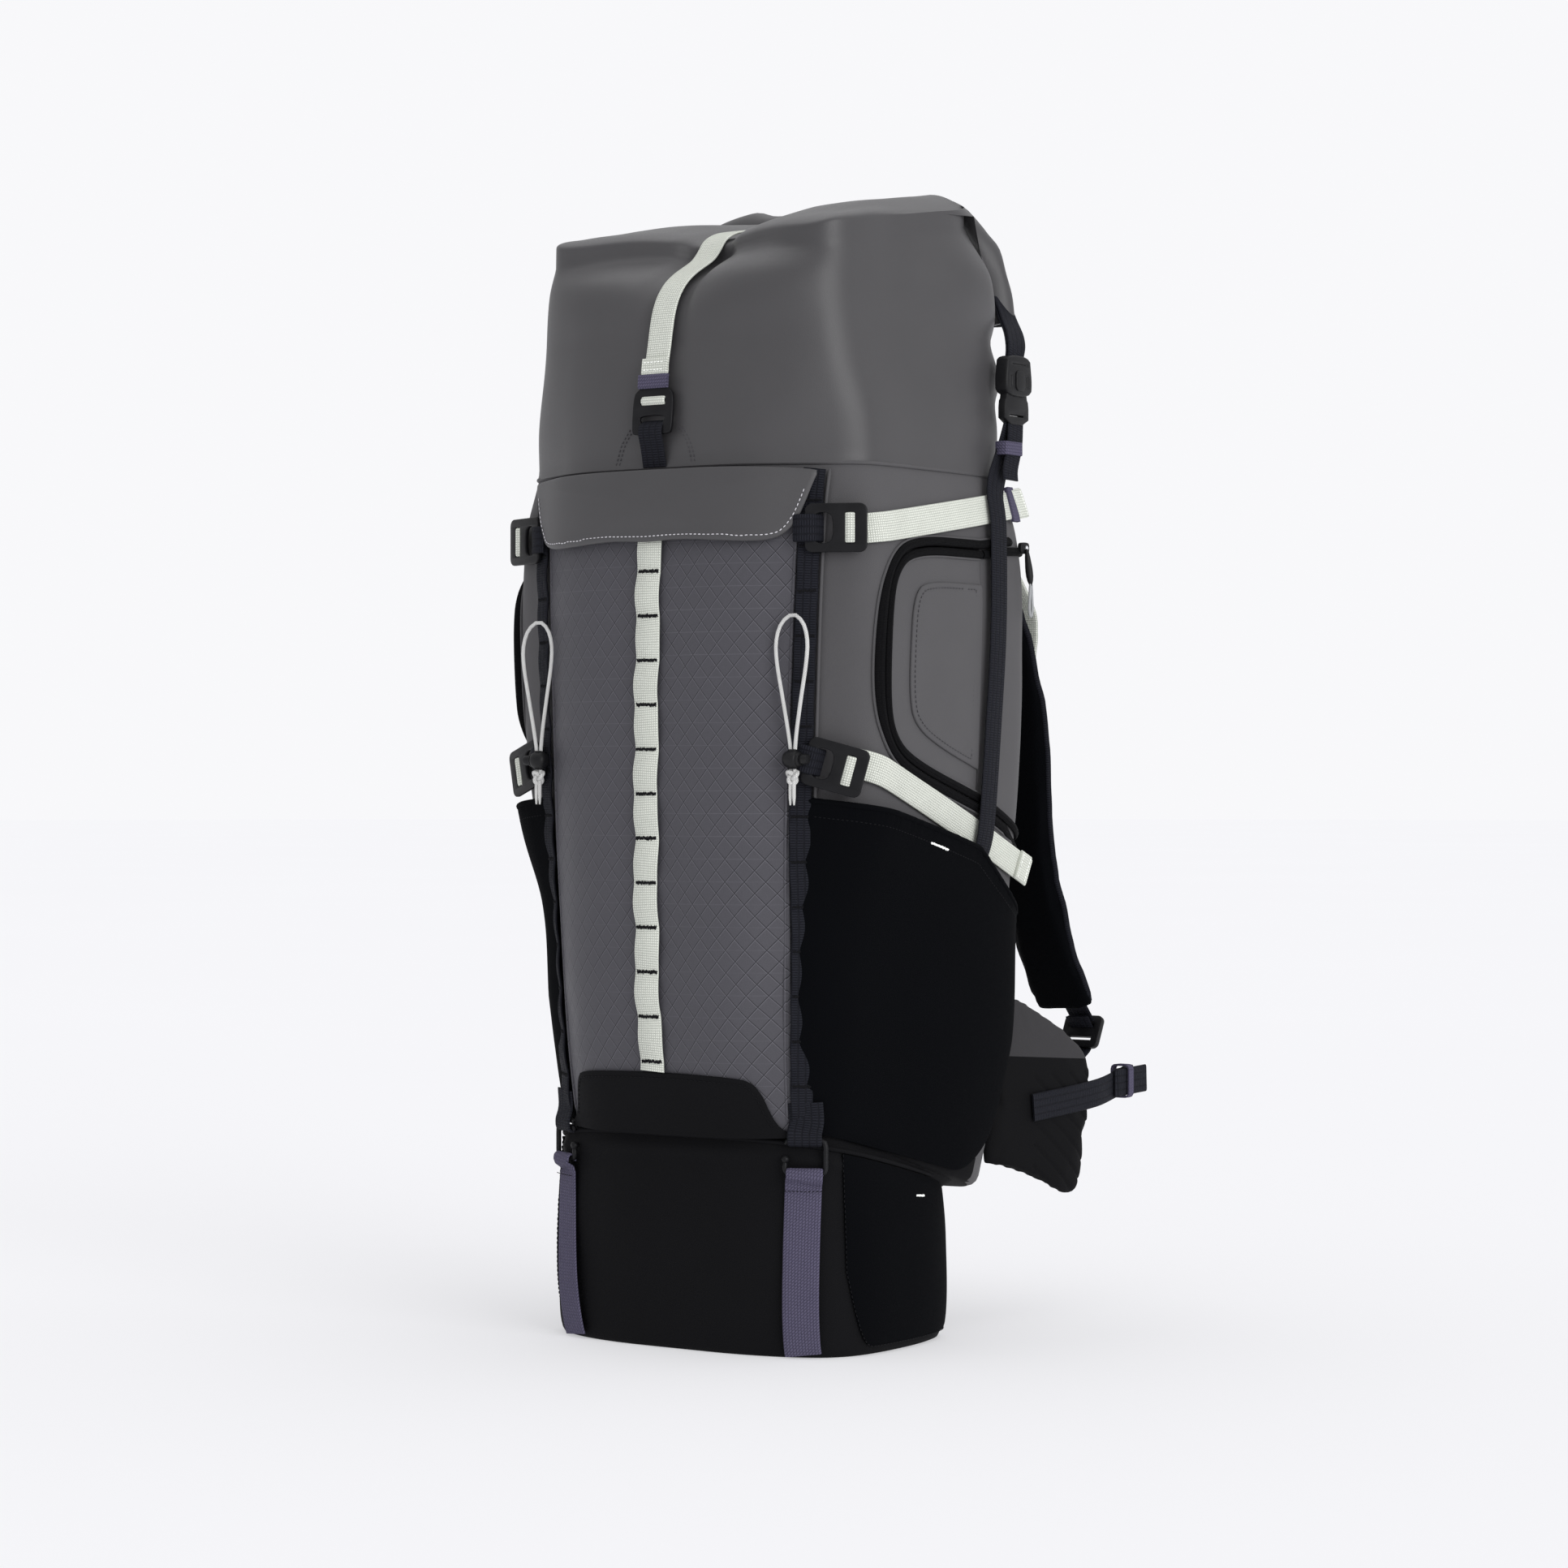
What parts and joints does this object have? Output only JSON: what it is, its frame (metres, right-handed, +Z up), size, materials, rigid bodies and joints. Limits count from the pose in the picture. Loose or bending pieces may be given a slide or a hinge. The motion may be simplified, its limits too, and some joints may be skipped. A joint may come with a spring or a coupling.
{
  "type": "hiking backpack",
  "caption": "Tall roll-top hiking backpack with a hook-on bottom bin, front webbing ladder, side doors, stretch side pockets, compression straps and padded harness.",
  "frame": {"origin": "centre of the bottom bin's flat base", "axes": "+Z up, -Y out of the pack's front, +Y towards the wearer, +X to the pack's right side as seen from the front"},
  "size_m": [0.3272, 0.4133, 0.8013],
  "materials": {
    "grey_fabric": "matt coated polyester",
    "ripstop": "diamond ripstop nylon",
    "black_fabric": "matt woven nylon",
    "stretch_fabric": "matt four-way stretch",
    "white_webbing": "ribbed off-white webbing",
    "black_webbing": "ribbed black webbing",
    "violet_webbing": "twill slate-violet webbing",
    "black_metal": "satin black coated aluminium",
    "black_plastic": "moulded black acetal",
    "white_cord": "braided white elastic",
    "bare_aluminium": "plain"
  },
  "bodies": {
    "pack": {"main_shell": "grey_fabric", "roll_top_collar": "grey_fabric", "roll_top_closure": "grey_fabric", "front_pocket_panel": "ripstop", "front_shield": "black_fabric", "bottom_bin": "black_fabric", "front_daisy_chain": "white_webbing", "centre_strap": "white_webbing", "centre_hook": "black_metal", "back_panel_pad": "black_fabric", "frame_stay": "bare_aluminium", "haul_handle": "black_webbing", "edge_daisy_chain_r": "black_webbing", "edge_daisy_chain_l": "black_webbing", "upper_compression_hook_r": "black_metal", "upper_compression_hook_l": "black_metal", "lower_compression_hook_r": "black_metal", "lower_compression_hook_l": "black_metal", "upper_compression_strap_r": "white_webbing", "upper_compression_strap_l": "white_webbing", "lower_compression_strap_r": "white_webbing", "lower_compression_strap_l": "white_webbing", "side_strap_r": "black_webbing", "side_strap_l": "black_webbing", "buckle_socket_r": "black_plastic", "buckle_socket_l": "black_plastic", "side_pocket_r": "stretch_fabric", "side_pocket_l": "stretch_fabric", "elastic_cord_r": "white_cord", "elastic_cord_l": "white_cord", "cord_lock_r": "black_plastic", "cord_lock_l": "black_plastic", "load_lifter_r": "white_webbing", "load_lifter_l": "white_webbing", "bin_strap_r": "violet_webbing", "bin_strap_l": "violet_webbing", "bin_hook_r": "black_metal", "bin_hook_l": "black_metal"},
    "front_flap": {"front_flap": "grey_fabric"},
    "side_door_r": {"side_door_r": "grey_fabric"},
    "side_door_l": {"side_door_l": "grey_fabric"},
    "zip_slider_r": {"zip_slider_r": "black_metal"},
    "zip_slider_l": {"zip_slider_l": "black_metal"},
    "zip_pull_r": {"zip_pull_r": "black_webbing"},
    "zip_pull_l": {"zip_pull_l": "black_webbing"},
    "buckle_prongs_r": {"buckle_prongs_r": "black_plastic"},
    "buckle_prongs_l": {"buckle_prongs_l": "black_plastic"},
    "cord_lock_button_r": {"cord_lock_button_r": "black_plastic"},
    "cord_lock_button_l": {"cord_lock_button_l": "black_plastic"},
    "shoulder_strap_r": {"shoulder_strap_r": "black_fabric", "strap_adjuster_r": "black_plastic"},
    "shoulder_strap_l": {"shoulder_strap_l": "black_fabric", "strap_adjuster_l": "black_plastic"},
    "adjuster_webbing_r": {"adjuster_webbing_r": "black_webbing"},
    "adjuster_webbing_l": {"adjuster_webbing_l": "black_webbing"},
    "hip_wing_r": {"hip_wing_r": "black_fabric", "hip_webbing_r": "black_webbing"},
    "hip_wing_l": {"hip_wing_l": "black_fabric", "hip_webbing_l": "black_webbing"}
  },
  "joints": [
    {"name": "front_flap_hinge", "type": "hinge", "parent": "pack", "child": "front_flap", "pos_m": [0, -0.1188, 0.597], "axis": [-1, 0, 0], "range_deg": [0, 110]},
    {"name": "side_door_hinge_r", "type": "hinge", "parent": "pack", "child": "side_door_r", "pos_m": [0.1551, 0.0526, 0.46], "axis": [0, 0, 1], "range_deg": [0, 85]},
    {"name": "zip_slide_r", "type": "slide", "parent": "pack", "child": "zip_slider_r", "axis": [0, -1, 0], "range_m": [0, 0.08]},
    {"name": "zip_pull_swing_r", "type": "hinge", "parent": "zip_slider_r", "child": "zip_pull_r", "pos_m": [0.1577, 0.1085, 0.55], "axis": [0, -1, 0], "range_deg": [0, 80]},
    {"name": "buckle_release_r", "type": "slide", "parent": "pack", "child": "buckle_prongs_r", "axis": [0, 0, -1], "range_m": [0, 0.02]},
    {"name": "cord_lock_press_r", "type": "slide", "parent": "pack", "child": "cord_lock_button_r", "axis": [-1, 0, 0], "range_m": [0, 0.0035]},
    {"name": "shoulder_strap_swing_r", "type": "hinge", "parent": "pack", "child": "shoulder_strap_r", "pos_m": [0.052, 0.158, 0.528], "axis": [1, 0, 0], "range_deg": [-8, 0]},
    {"name": "adjuster_webbing_droop_r", "type": "hinge", "parent": "pack", "child": "adjuster_webbing_r", "pos_m": [0.102, 0.1305, 0.132], "axis": [1, 0, 0], "range_deg": [-24, 0]},
    {"name": "hip_wing_fold_r", "type": "hinge", "parent": "pack", "child": "hip_wing_r", "pos_m": [0.1285, 0.131, 0.165], "axis": [0, 0, 1], "range_deg": [-70, 6]},
    {"name": "side_door_hinge_l", "type": "hinge", "parent": "pack", "child": "side_door_l", "pos_m": [-0.1551, 0.0526, 0.46], "axis": [0, 0, -1], "range_deg": [0, 85]},
    {"name": "zip_slide_l", "type": "slide", "parent": "pack", "child": "zip_slider_l", "axis": [0, -1, 0], "range_m": [0, 0.08]},
    {"name": "zip_pull_swing_l", "type": "hinge", "parent": "zip_slider_l", "child": "zip_pull_l", "pos_m": [-0.1577, 0.1085, 0.55], "axis": [0, 1, 0], "range_deg": [0, 80]},
    {"name": "buckle_release_l", "type": "slide", "parent": "pack", "child": "buckle_prongs_l", "axis": [0, 0, -1], "range_m": [0, 0.02]},
    {"name": "cord_lock_press_l", "type": "slide", "parent": "pack", "child": "cord_lock_button_l", "axis": [1, 0, 0], "range_m": [0, 0.0035]},
    {"name": "shoulder_strap_swing_l", "type": "hinge", "parent": "pack", "child": "shoulder_strap_l", "pos_m": [-0.052, 0.158, 0.528], "axis": [1, 0, 0], "range_deg": [-8, 0]},
    {"name": "adjuster_webbing_droop_l", "type": "hinge", "parent": "pack", "child": "adjuster_webbing_l", "pos_m": [-0.102, 0.1305, 0.132], "axis": [1, 0, 0], "range_deg": [-24, 0]},
    {"name": "hip_wing_fold_l", "type": "hinge", "parent": "pack", "child": "hip_wing_l", "pos_m": [-0.1285, 0.131, 0.165], "axis": [0, 0, -1], "range_deg": [-70, 6]}
  ],
  "couplings": [
    {"joint": "adjuster_webbing_droop_r", "follows": "shoulder_strap_swing_r", "ratio": 3},
    {"joint": "adjuster_webbing_droop_l", "follows": "shoulder_strap_swing_l", "ratio": 3}
  ]
}
